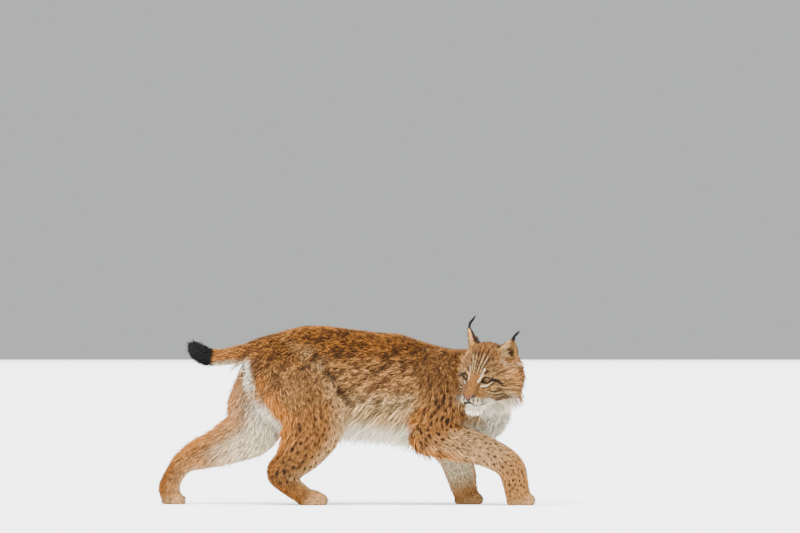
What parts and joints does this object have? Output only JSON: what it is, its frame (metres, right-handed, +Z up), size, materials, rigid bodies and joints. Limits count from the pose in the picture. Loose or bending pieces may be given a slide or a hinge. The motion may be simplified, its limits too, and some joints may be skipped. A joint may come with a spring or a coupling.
{
  "type": "eurasian lynx figure",
  "caption": "Still, life-size model of a young Eurasian lynx in winter coat, walking low and looking back over its right shoulder.",
  "frame": {"origin": "on the floor under the middle of the animal's bounding box", "axes": "+X from the tail to the chest, +Y to the animal's left, +Z up"},
  "size_m": [1.06, 0.3474, 0.5305],
  "materials": {
    "coat": "dense winter fur, rufous brown on the back, pale below, with dark spots",
    "black_fur": "short black fur of the tail tip and ear tufts",
    "ear": "thin skin with short fur, black on its back and pale hair in its cup",
    "eye": "wet, glossy amber eye",
    "nose": "moist, finely pebbled skin",
    "claw": "horn, translucent grey-brown"
  },
  "bodies": {
    "root": {"torso": "coat", "neck": "coat", "head": "coat", "ear_left": "ear", "ear_right": "ear", "eye_left": "eye", "eye_right": "eye", "tail": "coat", "tail_tip": "black_fur", "foreleg_left": "coat", "foreleg_right": "coat", "forepaw_left": "coat", "forepaw_right": "coat", "hindleg_left": "coat", "hindleg_right": "coat", "hindpaw_left": "coat", "hindpaw_right": "coat"}
  },
  "joints": []
}
